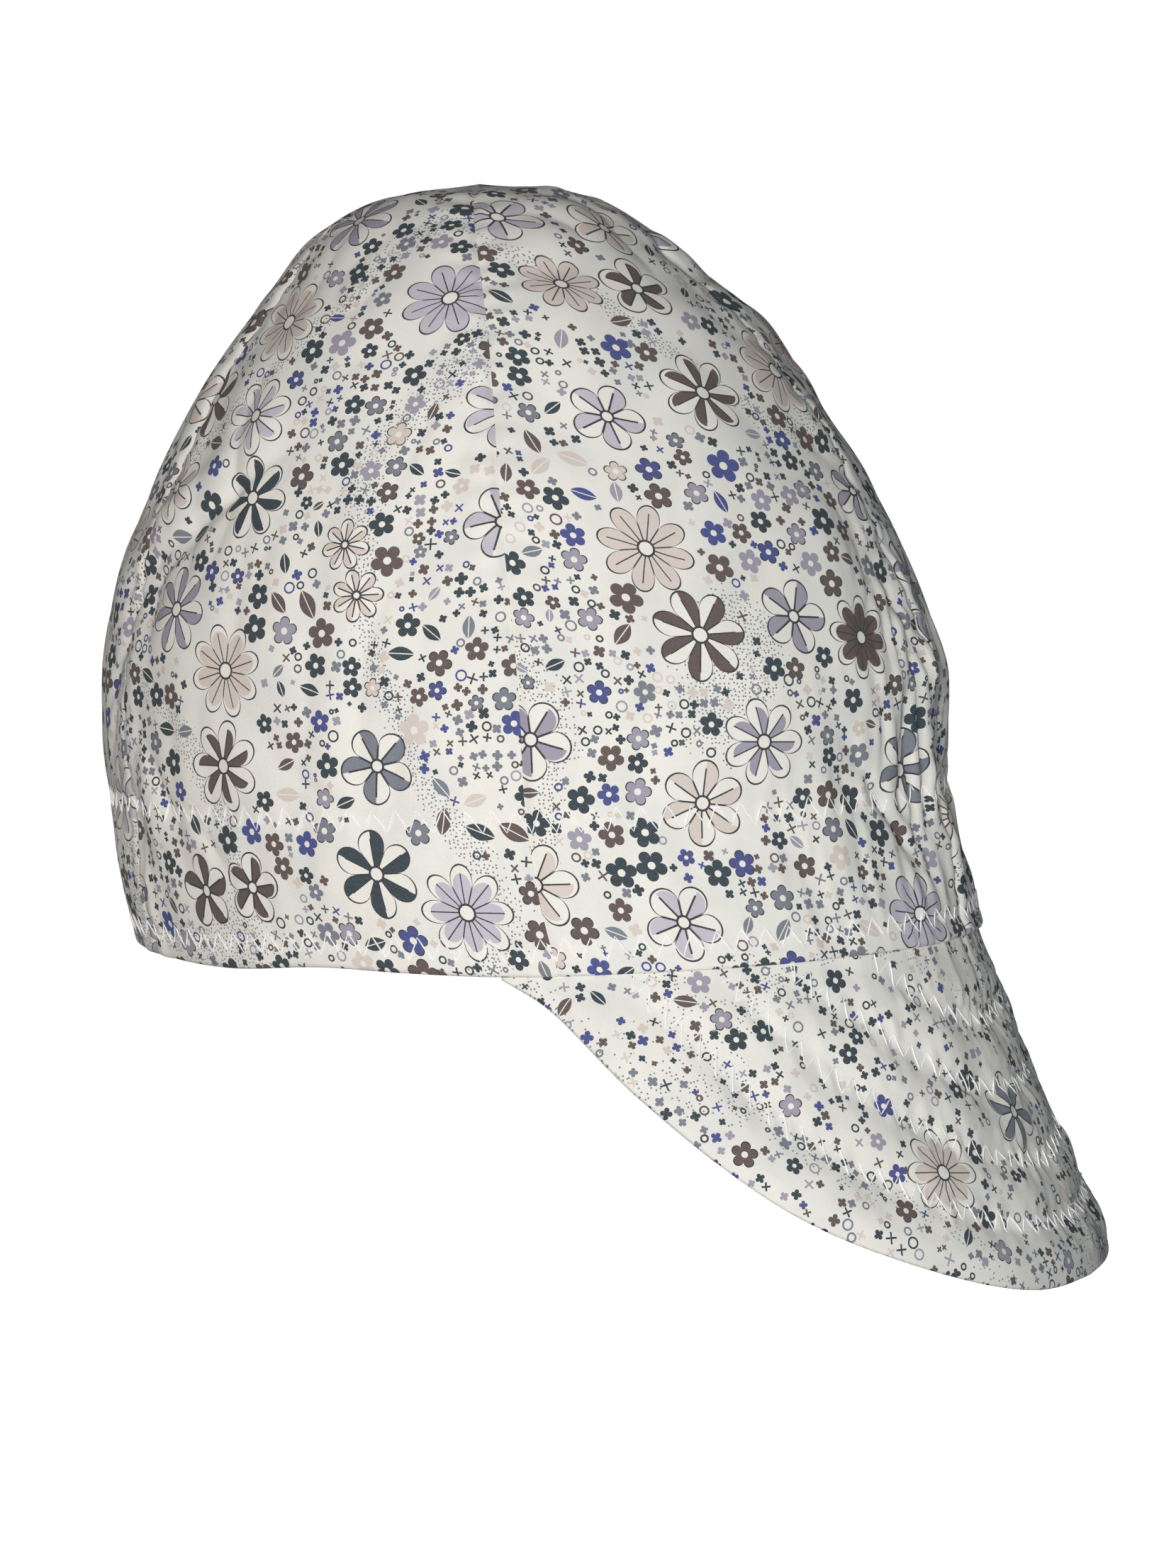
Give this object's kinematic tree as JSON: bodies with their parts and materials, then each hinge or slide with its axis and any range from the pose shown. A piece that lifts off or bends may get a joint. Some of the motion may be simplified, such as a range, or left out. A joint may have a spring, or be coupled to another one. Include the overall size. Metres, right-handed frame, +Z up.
{
  "type": "welding cap",
  "caption": "Soft cotton welding cap with a tall gored crown, a turned-up hem band and a drooping quilted bill, in the shape it has when worn.",
  "frame": {"origin": "middle of the head opening, in the plane of the hem, where a head goes in", "axes": "+Z up through the crown, -Y forward over the bill, +X to the wearer's left"},
  "size_m": [0.1686, 0.2393, 0.2522],
  "materials": {
    "crown_cotton": "fine printed cotton, matt, off-white with a small scattered floral print in slate, blue and taupe",
    "band_cotton": "the same printed cotton turned up inside, print side in",
    "bill_cotton": "the same printed cotton over padding, quilted with zigzag rows",
    "sewing_thread": "white polyester sewing thread with a slight sheen"
  },
  "bodies": {
    "root": {"crown_gore_1": "crown_cotton", "crown_gore_2": "crown_cotton", "crown_gore_3": "crown_cotton", "crown_gore_4": "crown_cotton", "crown_gore_5": "crown_cotton", "hem_band": "band_cotton", "bill": "bill_cotton"}
  },
  "joints": []
}
